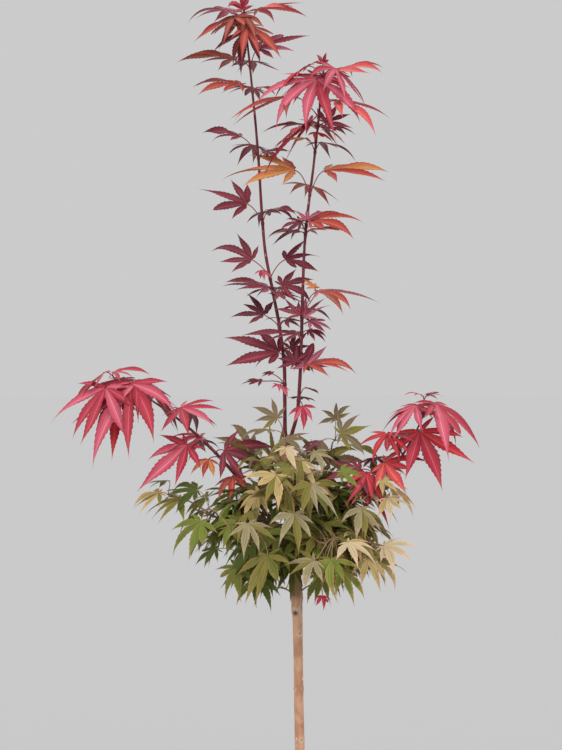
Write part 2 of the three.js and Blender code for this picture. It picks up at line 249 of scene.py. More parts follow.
def bark_material(name, ground, tone, pale, rough, graft_and_shade=None):
    """Smooth young bark: blotches of two tones, pale lenticels, and fine upright grain."""
    material, nodes, shader = new_material(name)
    body = body_place(nodes)
    upright = add_node(nodes, "Mapping", {"Vector": body, "Scale": (1.0, 1.0, 0.16)})["Vector"]
    grain = add_noise(nodes, upright, scale=420.0, detail=5.0, roughness=0.62)
    blotches = add_noise(nodes, body, scale=58.0, detail=3.0, roughness=0.55)
    tones = add_mix(nodes, add_ramp(nodes, blotches, 0.36, 0.64), linear(ground), linear(tone))
    shades = add_mix(nodes, 0.5, tones, grain, "MULTIPLY")
    long = add_node(nodes, "Mapping", {"Vector": body, "Scale": (1.0, 1.0, 0.42)})["Vector"]
    lenses = add_node(nodes, "TexVoronoi", {"Vector": long, "Scale": 300.0, "Randomness": 1.0})
    dots = add_ramp(nodes, lenses["Distance"], 0.3, 0.16)
    # Only about three in ten of the cells carry a lenticel.
    chance = add_node(nodes, "SeparateColor", {"Color": lenses["Color"]})["Red"]
    spots = add_math(nodes, "MULTIPLY", dots, add_math(nodes, "LESS_THAN", chance, 0.3))
    colour = add_mix(nodes, spots, shades, linear(pale))
    # The stem's bark darkens on a band above the union, partly as painted shade under the head.
    if graft_and_shade:
        colour = graft_and_shade_colour(nodes, body, blotches, colour, graft_and_shade)
        colour = scar_colour(nodes, colour, pale)
    height = add_math(nodes, "MULTIPLY_ADD", spots, 0.7, grain)
    set_inputs(shader, {
        "Base Color": colour,
        "Specular IOR Level": 0.35,
        "Roughness": add_ramp(nodes, grain, low=rough - 0.12, high=rough + 0.12),
        "Normal": add_bump(nodes, height, strength=0.6, depth=0.5 * MM),
    })
    return material


def graft_and_shade_colour(nodes, body, blotches, below, graft_and_shade):
    """Darker bark on a band over the union, with ragged edges: partly the union's own darker bark, partly
    painted shade where the stem runs up under the head.
    """
    height = add_node(nodes, "SeparateXYZ", {"Vector": body})["Z"]
    ragged = add_math(nodes, "MULTIPLY_ADD", blotches, 26 * MM, height)
    rise = add_ramp(nodes, ragged, GRAFT_HEIGHT + 10 * MM, GRAFT_HEIGHT + 26 * MM, curve="SMOOTHSTEP")
    fade = add_ramp(nodes, ragged, GRAFT_HEIGHT + 80 * MM, GRAFT_HEIGHT + 40 * MM, curve="SMOOTHSTEP")
    return add_mix(nodes, add_math(nodes, "MULTIPLY", rise, fade), below, linear(graft_and_shade))


def scar_colour(nodes, below, pale):
    """The pale rims and dark cores of the trunk's scars, where its marks say."""
    marks = stored_place(nodes)
    rimmed = add_mix(nodes, marks["X"], below, linear(pale))
    return add_mix(nodes, marks["Y"], rimmed, linear(SCAR_CORE))


# ---- Joined meshes ----

class Piece:
    """Many small shapes gathered into one object."""

    def __init__(self):
        self.points, self.places, self.faces, self.finishes, self.count = [], [], [], [], 0

    def add(self, points, faces, finishes=0, places=None):
        """Adds a shape. finishes is one material's number for all its faces, or one for each."""
        self.points.append(points)
        self.places.append(np.zeros((len(points), 2)) if places is None else places)
        self.faces.append(faces + self.count)
        self.finishes.append(np.broadcast_to(finishes, len(faces)))
        self.count += len(points)

    def make(self, name, materials, slot, *stands_for):
        """Makes the object. stands_for names the CAD nodes that it replaces."""
        mesh = bpy.data.meshes.new(name)
        corners = np.concatenate([faces.ravel() for faces in self.faces])
        sizes = np.concatenate([np.full(len(faces), faces.shape[1]) for faces in self.faces])
        mesh.vertices.add(self.count)
        mesh.vertices.foreach_set("co", np.concatenate(self.points).ravel())
        mesh.loops.add(len(corners))
        mesh.loops.foreach_set("vertex_index", corners)
        mesh.polygons.add(len(sizes))
        mesh.polygons.foreach_set("loop_start", np.concatenate(([0], np.cumsum(sizes)[:-1])))
        mesh.polygons.foreach_set("material_index", np.concatenate(self.finishes))
        mesh.polygons.foreach_set("use_smooth", np.ones(len(sizes), bool))
        layer = mesh.uv_layers.new(name="blade")
        layer.uv.foreach_set("vector", np.concatenate(self.places)[corners].ravel())
        mesh.update(calc_edges=True)
        mesh.validate()
        for material in materials:
            mesh.materials.append(material)
        piece = show(name, mesh)
        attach(piece, "root")
        if stands_for:
            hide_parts(*stands_for)


def ring_faces(rings, sides):
    """Quads between rings of points that lie one after the other."""
    first = np.arange(rings - 1)[:, None] * sides + np.arange(sides)
    second = np.arange(rings - 1)[:, None] * sides + (np.arange(sides) + 1) % sides
    return np.stack((first, second, second + sides, first + sides), -1).reshape(-1, 4)


FIRST_SIDE = np.array((1.0, 0.013, 0.007))  # no tube starts out along it


def tube_points(path, reach):
    """Rings of points round a path. reach is how far out each point lies, ring by ring."""
    rings, sides = reach.shape
    along = np.gradient(path, axis=0)
    along /= np.linalg.norm(along, axis=1)[:, None]
    side = np.empty_like(path)
    side[0] = square_to(along[0], FIRST_SIDE)
    for i in range(1, rings):
        side[i] = square_to(along[i], side[i - 1])
    across = np.cross(along, side)
    turn = np.arange(sides) * 2 * math.pi / sides
    spokes = side[:, None] * np.cos(turn)[None, :, None] + across[:, None] * np.sin(turn)[None, :, None]
    return (path[:, None] + spokes * reach[..., None]).reshape(-1, 3)


def add_tube(piece, path, reach, marks=None):
    """A tube with both its ends closed, in the piece's first material."""
    rings, sides = reach.shape
    caps = np.stack((np.arange(sides)[::-1], np.arange(sides) + (rings - 1) * sides)) + piece.count
    piece.add(tube_points(path, reach), ring_faces(rings, sides), places=marks)
    piece.faces.append(caps)
    piece.finishes.append(np.zeros(2, int))


def bezier(start, leaving, arriving, end, steps):
    t = np.linspace(0, 1, steps + 1)[:, None]
    u = 1 - t
    return u**3 * start + 3 * u * u * t * leaving + 3 * u * t * t * arriving + t**3 * end


# ---- Limbs, read from the rings of their CAD solids ----

SAME_PLACE = 0.001 * MM  # how near corners of a CAD mesh are when they are one
FLAT = 1e-4  # how little the cosine between a flat end's faces may differ from 1
NEAREST_STEP = 2 * MM


class Limb:
    """A middle line through rings, and the radius at each of them."""

    def __init__(self, points, radii):
        self.points, self.radii = points, radii
        steps = np.linalg.norm(np.diff(points, axis=0), axis=1)
        self.knots = np.concatenate(([0], np.cumsum(steps)))
        self.length = self.knots[-1]
        self.slopes = np.gradient(points, self.knots, axis=0)

    def place(self, distance):
        """Points on the limb's middle line, on a smooth curve through its rings."""
        distance = np.atleast_1d(distance)
        i = np.clip(np.searchsorted(self.knots, distance) - 1, 0, len(self.knots) - 2)
        gap = (self.knots[i + 1] - self.knots[i])[:, None]
        t = (distance - self.knots[i])[:, None] / gap
        first = (2 * t**3 - 3 * t**2 + 1) * self.points[i] + (t**3 - 2 * t**2 + t) * gap * self.slopes[i]
        last = (3 * t**2 - 2 * t**3) * self.points[i + 1] + (t**3 - t**2) * gap * self.slopes[i + 1]
        return first + last

    def radius(self, distance):
        return np.interp(distance, self.knots, self.radii)

    def direction(self, distance):
        ahead = self.place(distance + MM)[0] - self.place(distance - MM)[0]
        return unit(ahead)

    def at_height(self, height):
        """The distance along the limb of its place at a height, on a limb that climbs all the way."""
        return float(np.interp(height, self.points[:, 2], self.knots))

    def nearest(self, point):
        """The distance along the limb of its place nearest to a point."""
        at = np.arange(0, self.length, NEAREST_STEP)
        return at[np.argmin(np.linalg.norm(self.place(at) - point, axis=1))]


def node_points(name):
    """A CAD node's vertices, each once, and its triangles."""
    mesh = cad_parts[name].data
    raw = np.empty(len(mesh.vertices) * 3)
    mesh.vertices.foreach_get("co", raw)
    raw = raw.reshape(-1, 3)
    rounded = np.round(raw / SAME_PLACE).astype(int)
    _, first, back = np.unique(rounded, axis=0, return_index=True, return_inverse=True)
    mesh.calc_loop_triangles()
    corners = np.empty(len(mesh.loop_triangles) * 3, int)
    mesh.loop_triangles.foreach_get("vertices", corners)
    return raw[first], back.reshape(-1)[corners].reshape(-1, 3)


def limb_of(name):
    """The limb's rings, met one after the other from the middle of its flat foot."""
    points, triangles = node_points(name)
    first, second, third = (points[triangles[:, i]] for i in range(3))
    normals = np.cross(second - first, third - first)
    normals /= np.linalg.norm(normals, axis=1)[:, None]
    # All the triangles round the middle of a flat end face the same way.
    ends = []
    for corner in range(len(points)):
        around = normals[(triangles == corner).any(1)]
        if np.abs(around @ around[0] - 1).max() < FLAT:
            ends.append(corner)
    foot = min(ends, key=lambda corner: points[corner][2])
    middles, radii, seen, ring = [], [], {foot}, {foot}
    while ring:
        ring = set(triangles[np.isin(triangles, list(ring)).any(1)].ravel()) - seen
        seen |= ring
        if len(ring) > 1:
            around = points[list(ring)]
            middles.append(around.mean(0))
            radii.append(np.linalg.norm(around - around.mean(0), axis=1).mean())
    return Limb(np.array(middles), np.array(radii))


GREEN_BOUGHS = (
    "bough_green_left", "bough_green_right", "bough_green_front_left", "bough_green_front_right",
    "bough_green_back_left", "bough_green_back_right", "bough_green_back",
    "shoot_front", "shoot_upper_left", "shoot_upper_right",
)
RED_BOUGHS = ("bough_red_left", "bough_red_right")
LEADERS = ("leader_left", "leader_right")
limbs = {name: limb_of(name) for name in ("trunk", *LEADERS, *RED_BOUGHS, *GREEN_BOUGHS)}
trunk = limbs["trunk"]


# ---- Bark ----

GRAFT_HEIGHT = 600 * MM
STUB = (math.radians(246), 588 * MM)  # a cut shoot's healed stub under the graft, front and left
STUB_CORE = (STUB[0], STUB[1] - 1 * MM)
TRUNK_RADIUS = 5 * MM
RING_GAP = 1.4 * MM  # along a limb's bark
SCAR_START, SCAR_GAP = 46 * MM, 58 * MM  # of the pairs of old leaf scars up the clear stem
SCAR_TURN, SCAR_SHIFT, SCAR_BEAT = 0.4, 7 * MM, 5.3  # the first pair's turn, and how uneven the gaps are
CORE_SHIFT = 0.5 * MM  # from the middle of a scar up to its core
FLARE_RIBS = 5
COLLAR_LENGTH = 5 * MM  # over which a limb narrows past its foot
BOUGH_NODE_START, BOUGH_NODE_GAP = 22 * MM, 21 * MM
BOUGH_SIDES, TRUNK_SIDES, DARK_SIDES = 10, 36, 14


def swelling(turn, along, spot, width, height):
    """A round swelling on the trunk's skin, at a spot's turn and distance along."""
    around = np.angle(np.exp(1j * (turn - spot[0])))
    return height * np.exp(-((around * TRUNK_RADIUS / width) ** 2) - ((along - spot[1]) / width) ** 2)


def trunk_scars():
    """Each old leaf scar on the trunk and its core, as spots. The scars lie in pairs."""
    scars = []
    for i, middle in enumerate(np.arange(SCAR_START, trunk.length, SCAR_GAP)):
        middle = middle + SCAR_SHIFT * math.sin(SCAR_BEAT * i)
        for side in (0, math.pi):
            turn = (i % 2) * math.pi / 2 + SCAR_TURN + side
            scars.append(((turn, middle), (turn, middle + CORE_SHIFT)))
    return scars


def trunk_marks(turn, along):
    """How far the trunk's skin takes the pale of the scars' rims and the dark of their cores."""
    rims = swelling(turn, along, STUB, 5 * MM, 0.8)
    cores = swelling(turn, along, STUB_CORE, 3 * MM, 1.2)
    for scar, core in trunk_scars():
        rims = np.maximum(rims, swelling(turn, along, scar, 2.3 * MM, 1.0))
        cores = np.maximum(cores, swelling(turn, along, core, 1.3 * MM, 1.0))
    cracks = np.sin(7 * turn + 3 * np.sin(along / (7 * MM))) * hump(along - GRAFT_HEIGHT, 14 * MM)
    cores = np.maximum(cores, 0.5 * np.clip(cracks, 0, 1) ** 3)
    return np.clip(np.stack((rims, cores), -1).reshape(-1, 2), 0, 1)


def trunk_relief(turn, along):
    """How far the trunk's skin stands out from its round section, at each turn and distance along."""
    flare = np.exp(-along / (13 * MM))
    relief = -2.2 * MM * flare * np.cos(FLARE_RIBS * turn)
    relief += 0.1 * MM * np.sin(9 * turn + 2.2 * np.sin(along / (17 * MM)))
    relief += 0.14 * MM * np.sin(3 * turn + along / (23 * MM)) * np.sin(along / (31 * MM) + 1)
    # The union is lumpy, and its seam is a lip with a groove in it that runs slanting round the stem.
    lumps = 0.5 * np.sin(3 * turn + along / (6 * MM)) + 0.35 * np.sin(5 * turn - along / (4 * MM))
    relief += hump(along - GRAFT_HEIGHT, 17 * MM) * MM * lumps
    seam = along - GRAFT_HEIGHT - 5 * MM * np.sin(turn + 0.8)
    relief += 0.55 * MM * hump(seam, 2.6 * MM) - 0.9 * MM * hump(seam, 0.9 * MM)
    for scar, core in trunk_scars():
        relief += 0.11 * MM * hump(along - scar[1], 3 * MM)
        relief += swelling(turn, along, scar, 2 * MM, 0.75 * MM)
        relief -= swelling(turn, along, core, 0.8 * MM, 0.35 * MM)
    relief += swelling(turn, along, STUB, 5.5 * MM, 1.5 * MM)
    relief -= swelling(turn, along, STUB_CORE, 2.6 * MM, 1.8 * MM)
    return relief


def add_bark(piece, limb, sides, relief, sunk=0.0, collar=0.0, marks=None):
    """A limb's bark. sunk carries it back into its parent, and collar widens it there."""
    distance = np.linspace(-sunk, limb.length, int((limb.length + sunk) / RING_GAP) + 1)
    path = limb.place(distance)
    turn = np.arange(sides) * 2 * math.pi / sides
    reach = limb.radius(distance)[:, None] + relief(turn[None, :], distance[:, None])
    reach += collar * np.exp(-np.maximum(distance, 0) / COLLAR_LENGTH)[:, None]
    add_tube(piece, path, reach, None if marks is None else marks(turn[None, :], distance[:, None]))


def node_relief(nodes, height):
    """Slight rings where leaves leave a limb, over a gently uneven skin."""
    def relief(turn, along):
        skin = 0.06 * MM * np.sin(3 * turn + along / (9 * MM)) + 0.05 * MM * np.sin(along / (5 * MM))
        for at in nodes:
            skin = skin + height * hump(along - at, 1.7 * MM)
        return skin
    return relief


# ---- Leaves ----

COLUMNS = np.array((-1, -0.8, -0.42, -0.075, 0.075, 0.42, 0.8, 1))  # across a lobe, from edge to edge
COLUMN_ZONES = np.array((3, 2, 1, 0, 1, 2, 3))
EDGE_ZONE = 3
EDGE_TIP = 0.93  # the share of a lobe past which only its vein and its edge's colour are left
BLUNT_LOBES = 0.15  # the share of lobes that have lost their tips
BLUNT_BELLY, BLUNT_SHARP = 0.62, 0.6
PALM = 0.014  # the hole that the stalk's end fills, as a share of a leaf's length
FREE_SIDE = math.radians(34)  # the room that an outermost lobe has on its free side
WAIST = 0.42  # a lobe's width at its foot, as a share of its greatest
WEB = 0.11  # the half width that joins the lobes round the palm, as a share of their length
TAPER = 0.55  # how fast a lobe narrows just past its belly
LAST_TOOTH = 0.94  # where the teeth end along a lobe
TOOTH_LEAN = 0.72  # where a tooth's tip lies between two dips
TOOTH_TIP, TOOTH_DIP = 1.06, 0.88  # how far they reach, as shares of a plain edge
PLAIN_EDGE = np.array((0.34, 0.6, 0.82, 1))  # places along a lobe before its first tooth
BEND_STEPS = 14
# How much the lobes differ in turn (degrees), length, breadth, belly, sway and twist.
TURN_JITTER, LOBE_LENGTHS, BLUNT_LENGTHS, BREADTHS = 7, (0.76, 1.1), (0.55, 0.72), (0.88, 1.14)
BELLY_JITTER, SWAY, TWIST = 0.07, 0.15, 0.55


class Style:
    """A kind of leaf: its lobes, how they are cut and how they hang."""

    def __init__(self, turns, shares, width, notch, teeth, droop, fold,
                 edge_creep=2.0, belly=0.49, sharp=1.7):
        self.turns, self.shares = turns, shares  # of the lobes from the middle one out to one side
        self.width = width  # half a lobe's greatest width, as a share of its length
        self.notch = notch  # where the lobes part, as a share of the leaf's length
        self.teeth = teeth  # along each edge of the longest lobe
        self.droop, self.fold = droop, fold
        self.edge_creep = edge_creep  # the share of a lobe past which its colours move in by one zone
        self.belly, self.sharp = belly, sharp  # where a lobe is widest, and how fast it narrows past it


HANGING = Style((0, 32, 66, 102), (1, 0.94, 0.78, 0.44), 0.087, 0.17, 11, 1.5, 0.34, belly=0.46, sharp=2.0)
SPREAD = Style((0, 37, 76, 116), (1, 0.86, 0.64, 0.34), 0.112, 0.22, 9, 0.8, 0.4)
PALMATE = Style((0, 38, 77, 118), (1, 0.92, 0.7, 0.34), 0.107, 0.22, 7, 1.5, 0.4, 0.62, 0.45, 2.1)
INNER = Style((0, 38, 77, 118), (1, 0.92, 0.7, 0.34), 0.1, 0.22, 3, 1.5, 0.4, 0.74, 0.45, 2.1)
RISING = Style((0, 35, 72), (1, 0.84, 0.5), 0.106, 0.2, 9, 1.0, 0.4)
CURLED = Style((0, 36, 76), (1, 0.9, 0.6), 0.12, 0.26, 4, 2.6, 0.7)


def half_width(share, style, belly, sharp):
    """A lobe's half width along it, as a share of its own length: a waist, a belly and a tip."""
    rising = WAIST + (1 - WAIST) * np.sin(0.5 * math.pi * np.clip(share / belly, 0, 1)) ** 2
    past = np.clip((share - belly) / (1 - belly), 0, 1)
    falling = (1 - past) ** sharp * (1 + (sharp - TAPER) * past)
    web = WEB * np.exp(-((share / style.notch) ** 5))
    return style.width * np.where(share < belly, rising, falling) + web


def lobe_stations(style, share):
    """Places along a lobe from the palm to its tip, and how far its edge reaches there with its teeth."""
    teeth = max(3, round(style.teeth * share))
    first, last = min(style.notch / share, 0.55) * 1.2, LAST_TOOTH
    tips = first + (last - first) * (np.arange(teeth) + TOOTH_LEAN) / teeth
    dips = first + (last - first) * (np.arange(teeth) + 1) / teeth
    plain = PLAIN_EDGE * first
    places = np.concatenate(((PALM / share,), plain, np.stack((tips, dips), 1).ravel(), (1.0,)))
    reach = np.concatenate((np.ones(5), np.tile((TOOTH_TIP, TOOTH_DIP), teeth), (1.0,)))
    return places, reach


def bent(start, distance, length, droop, extra, notch):
    """Lines that leave along start and bend down under their weight: the end of each, and a function
    that carries a direction square to its start over to there."""
    down_angle = np.arccos(np.clip(-start[..., 2], -1, 1))
    level = start * (1, 1, 0) + 1e-9
    level = level / np.linalg.norm(level, axis=-1)[..., None]
    place = np.zeros(start.shape)
    for k in range(BEND_STEPS + 1):
        share = distance / length * (k / BEND_STEPS)
        past = np.clip((share - notch) / (1 - notch), 0, None)
        pull = droop * (0.4 * share + 0.6 * share**2) + extra * past**2
        angle = 2 * np.arctan(np.tan(down_angle / 2) * np.exp(-pull))
        along = level * np.sin(angle)[..., None] - UP * np.cos(angle)[..., None]
        place += along * (0.5 if k in (0, BEND_STEPS) else 1.0)
    side = level * np.cos(angle)[..., None] + UP * np.sin(angle)[..., None]
    flat = np.cross(along, side)
    first_side = level * np.cos(down_angle)[..., None] + UP * np.sin(down_angle)[..., None]
    first_flat = np.cross(start, first_side)

    def turned(vector):
        return side * (first_side @ vector)[..., None] + flat * (first_flat @ vector)[..., None]
    return place * (distance / BEND_STEPS)[..., None], turned


def add_leaf(piece, palm, middle, face, length, style, tint, droop):
    """One leaf. middle is where its middle lobe heads, face is the way its upper side looks."""
    face = square_to(middle, face)
    axes = (middle, np.cross(face, middle), face)
    turns = [-t for t in style.turns[:0:-1]] + list(style.turns)
    shares = list(style.shares[:0:-1]) + list(style.shares)
    turns = np.radians(np.array(turns, float) + rng.uniform(-TURN_JITTER, TURN_JITTER, len(turns)))
    shares = np.array(shares) * rng.uniform(*LOBE_LENGTHS, len(shares))
    for i, (turn, full_share) in enumerate(zip(turns, shares)):
        blunt = rng.random() < BLUNT_LOBES
        share = full_share * rng.uniform(*BLUNT_LENGTHS) if blunt else full_share
        belly, sharp = BLUNT_BELLY, BLUNT_SHARP
        if not blunt:
            belly, sharp = style.belly + rng.uniform(-BELLY_JITTER, BELLY_JITTER), style.sharp
        places, teeth = lobe_stations(style, share)
        breadth = full_share * length * rng.uniform(*BREADTHS)
        natural = half_width(places, style, belly, sharp) * breadth
        # Each lobe keeps to its own side of the middle between it and the next.
        to_left = (turns[i + 1] - turn) / 2 if i + 1 < len(turns) else FREE_SIDE
        to_right = (turn - turns[i - 1]) / 2 if i else FREE_SIDE
        along = places * share * length
        wide = np.minimum(natural * teeth, along * math.tan(to_left))
        wide_right = np.minimum(natural * teeth, along * math.tan(to_right))
        across = np.where(COLUMNS > 0, wide[:, None], wide_right[:, None]) * COLUMNS
        # Some lobes take a kin tint: on the red leaves partly painted sheen and painted shade.
        own = TINT_ORDER.index(LOBE_TONE_AND_LIGHT[tint] if rng.random() < LOBE_TONE_AND_LIGHT_SHARE else tint)
        add_lobe(piece, palm, axes, turn, along, across, length, style, style.droop * droop, own, places)


def add_lobe(piece, palm, axes, turn, along, across, length, style, pull, tint, places):
    """One lobe, as rows of points that follow each other from the palm to the tip."""
    middle, left, face = axes
    extra = rng.normal(0.1, 0.25 * pull + 0.15)
    sway, twist = rng.normal(0.0, SWAY), rng.normal(0.0, TWIST)
    # Near the palm the lobes are one sheet, which bends as a whole.
    turns = turn + np.arctan2(across, along[:, None])
    reach = np.hypot(across, along[:, None])
    start = middle * np.cos(turns)[..., None] + left * np.sin(turns)[..., None]
    sheet, turned = bent(start, reach, length, pull, extra, style.notch)
    sheet_face = turned(face)
    # Further out each is a strip of its own, which sways and twists.
    line = np.broadcast_to(middle * math.cos(turn) + left * math.sin(turn), (len(along), 3))
    spine, turned = bent(line, along, length, pull, extra, style.notch)
    strip_side, strip_face = turned(left * math.cos(turn) - middle * math.sin(turn)), turned(face)
    far = np.clip(along / length - style.notch, 0, None)[:, None]
    roll = twist * 2 * far
    offset = across * np.cos(roll) + sway * length * far**2
    strip = spine[:, None] + strip_side[:, None] * offset[..., None]
    strip = strip + strip_face[:, None] * (across * np.sin(roll))[..., None]
    free = ease(style.notch, 1.8 * style.notch, along / length)[:, None, None]
    skin = sheet * (1 - free) + strip * free
    up_side = sheet_face * (1 - free) + strip_face[:, None] * free
    # The midrib lies deepest, in a fold.
    edge = np.where(across > 0, across[:, -1:], -across[:, :1])
    skin = skin - up_side * (style.fold * (edge - np.abs(across)))[..., None]
    rows, columns = across.shape
    first = np.arange(rows - 1)[:, None] * columns + np.arange(columns - 1)
    faces = np.stack((first, first + 1, first + columns + 1, first + columns), -1).reshape(-1, 4)
    zone = np.broadcast_to(COLUMN_ZONES, (rows - 1, columns - 1))
    reached = (places[:-1, None] + places[1:, None]) / 2
    zone = np.where((reached > style.edge_creep) & (zone > 0), np.minimum(zone + 1, EDGE_ZONE), zone)
    zone = np.where((reached > EDGE_TIP) & (zone > 0), EDGE_ZONE, zone)
    spots = np.stack((np.broadcast_to(along[:, None] / length, across.shape), across / length), -1)
    piece.add(skin.reshape(-1, 3) + palm, faces, zone.ravel() + tint * len(ZONES), spots.reshape(-1, 2))


STALK_RINGS = 7


def add_stem(piece, path, radius, sides):
    """A round stem. radius gives its size at each point of its path."""
    add_tube(piece, path, np.repeat(radius[:, None], sides, 1))


def add_stalk(piece, start, leaving, palm, middle, thick):
    """A leaf's stalk, from a swollen foot to the palm. thick is its radius in millimetres."""
    span = np.linalg.norm(palm - start)
    bends = (start + leaving * span * 0.45, palm - middle * span * 0.3)
    path = bezier(start, *bends, palm + middle * 0.6 * MM, STALK_RINGS - 1)
    share = np.linspace(0, 1, STALK_RINGS)
    radius = thick * (1 + 0.9 * np.exp(-share * 14) + 0.35 * np.exp(-(1 - share) * 12)) * MM
    add_stem(piece, path, radius, 5)


# ---- Leaves whose places are chosen one by one ----

SEEDS = {
    "leader_left": 11, "leader_right": 12, "bough_red_left": 23, "bough_red_right": 14,
    "foliage_low_left": 15, "foliage_low_right": 16, "foliage_high_left": 17, "foliage_high_right": 18,
}
# Ways for a leaf to sit: its style, how far its face leans to the front, and its share of that
# style's droop.
HABITS = {
    "hang": (HANGING, 0, 0.85),
    "arch": (HANGING, 12, 0.7),
    "half": (SPREAD, 34, 1.0),
    "fan": (SPREAD, 60, 0.5),
    "rise": (RISING, 46, 0.8),
    "sail": (RISING, 24, 0.8),
    "curl": (CURLED, 20, 0.6),
    "droop": (PALMATE, 16, 0.9),
    "face": (PALMATE, 64, 0.5),
}

# For each pair of leaves up a leader, its height and then its leaves. A leaf is: its palm from the
# stem there, its habit, the turn and climb of its middle lobe, its length and its tint.
WHORLS = {
    "leader_left": (
        (837, ((-26, -4, 4), "curl", 178, 10, 27, "wine"), ((-5, -11, 0), "curl", 262, -8, 26, "crimson"),
         ((-14, -8, 12), "curl", 150, 20, 18, "burgundy")),
        (866, ((-5, -8, 6), "rise", 178, 24, 74, "wine"), ((8, -8, 10), "fan", 30, 40, 34, "burgundy"),
         ((-2, 16, 10), "arch", 130, 4, 52, "wine")),
        (900, ((-17, -6, 14), "rise", 168, 36, 58, "plum"), ((7, -8, 8), "half", 310, -10, 26, "burgundy"),
         ((2, 15, 12), "arch", 60, 6, 48, "burgundy")),
        (938, ((-6, -10, 6), "half", 184, 16, 66, "wine"), ((10, -8, 8), "half", 12, 24, 46, "burgundy"),
         ((6, -12, 0), "half", 338, -16, 44, "wine"), ((0, 14, 8), "arch", 92, 6, 48, "burgundy")),
        (955, ((-20, -5, 20), "rise", 174, 32, 58, "wine"), ((17, -6, 20), "rise", 6, 22, 54, "burgundy"),
         ((-10, -6, 8), "curl", 300, -30, 22, "crimson")),
        (1016, ((-17, -5, 21), "rise", 174, 26, 70, "wine"), ((8, -6, 14), "arch", 354, 12, 44, "wine"),
         ((2, 15, 16), "arch", 70, 6, 48, "plum")),
        (1089, ((-20, -6, 23), "rise", 176, 22, 52, "wine"), ((6, -4, 6), "arch", 10, 20, 42, "wine"),
         ((-4, 16, 18), "arch", 120, 8, 48, "wine")),
        # From here up, the orange of the ember, copper and flame leaves is partly painted light: light
        # shining through them, seen from below.
        (1163, ((-13, -4, 8), "arch", 178, 16, 70, "ember"), ((6, -6, 4), "arch", 350, 6, 36, "orchid"),
         ((0, 16, 10), "arch", 110, 10, 48, "burgundy")),
        (1191, ((-18, -3, 9), "arch", 182, 14, 64, "copper"), ((10, -4, 20), "sail", 2, 24, 70, "orchid"),
         ((2, 14, 12), "arch", 80, 12, 50, "wine")),
        (1238, ((-13, -5, 8), "hang", 226, -32, 60, "ember"), ((4, -12, -4), "hang", 300, -44, 62, "ember"),
         ((0, 14, -2), "hang", 100, -20, 58, "copper")),
        (1252, ((14, 0, 4), "arch", 356, 16, 72, "flame"), ((-12, 2, 4), "arch", 178, 16, 58, "orchid"),
         ((-1, -6, 2), "curl", 250, 62, 30, "crimson"), ((-6, 12, 2), "hang", 130, -20, 56, "ember"),
         ((-2, -8, -4), "hang", 262, -52, 50, "copper")),
    ),
    "leader_right": (
        (820, ((4, -11, -6), "curl", 280, -50, 32, "crimson"), ((2, 12, 4), "curl", 84, 4, 30, "wine"),
         ((8, -6, 14), "curl", 20, 0, 20, "wine")),
        (856, ((4, -9, 1), "fan", 58, 60, 54, "orchid"), ((7, -8, 3), "arch", 4, 16, 68, "ember"),
         ((-5, -8, 6), "fan", 140, 50, 34, "burgundy"), ((2, 14, 8), "arch", 96, 8, 48, "burgundy")),
        (892, ((-4, -8, 0), "arch", 182, 10, 60, "wine"), ((7, -5, 4), "curl", 340, -10, 24, "burgundy")),
        (910, ((17, -6, 28), "arch", 2, 8, 68, "ember"), ((2, -10, 0), "rise", 30, 50, 42, "orchid"),
         ((-3, -9, 2), "rise", 140, 50, 34, "wine"), ((8, -8, -4), "half", 346, -6, 36, "orchid"),
         ((14, -5, 32), "curl", 140, 50, 20, "amber"), ((2, 14, 12), "arch", 76, 8, 50, "plum")),
        (1000, ((-4, -8, 2), "arch", 182, 14, 46, "wine"), ((5, -8, 4), "arch", 0, 14, 42, "ember"),
         ((-2, 14, 10), "arch", 110, 6, 48, "plum")),
        (1010, ((3, -7, 4), "arch", 2, 20, 66, "ember"), ((1, -9, 5), "fan", 84, 58, 26, "orchid"),
         ((-6, -7, 2), "half", 178, 0, 26, "plum")),
        (1043, ((-17, -5, 26), "sail", 181, 12, 84, "amber"), ((17, -5, 26), "sail", 0, 12, 82, "amber"),
         ((0, 16, 14), "arch", 86, 8, 54, "ember")),
        (1089, ((-10, -6, 14), "arch", 186, 4, 46, "amber"), ((1, -9, 20), "curl", 305, -20, 26, "scarlet"),
         ((8, 12, 14), "arch", 50, 8, 48, "wine")),
        (1116, ((-11, -6, 2), "arch", 183, 8, 50, "orchid"),
         ((-8, -14, 2), "hang", 206, -26, 82, "scarlet"), ((8, -6, 4), "fan", 14, 28, 40, "orchid"),
         ((8, -5, -2), "arch", 2, 12, 40, "wine"), ((2, 14, 8), "arch", 100, 8, 52, "crimson")),
        (1127, ((-32, -4, 22), "arch", 192, -8, 88, "ember"),),
        (1142, ((17, -6, 2), "arch", 346, -8, 84, "flame"),),
        (1172, ((-17, -4, 9), "hang", 214, -26, 60, "scarlet"),
         ((-7, -14, -8), "hang", 248, -44, 94, "rose"), ((13, -12, 4), "hang", 292, -46, 66, "rose"),
         ((15, -1, 6), "arch", 356, 20, 80, "flame"), ((3, 14, 6), "hang", 80, -14, 62, "crimson"),
         ((-8, 10, 4), "hang", 138, -20, 58, "crimson"), ((0, -3, 12), "curl", 300, 60, 18, "crimson")),
    ),
}

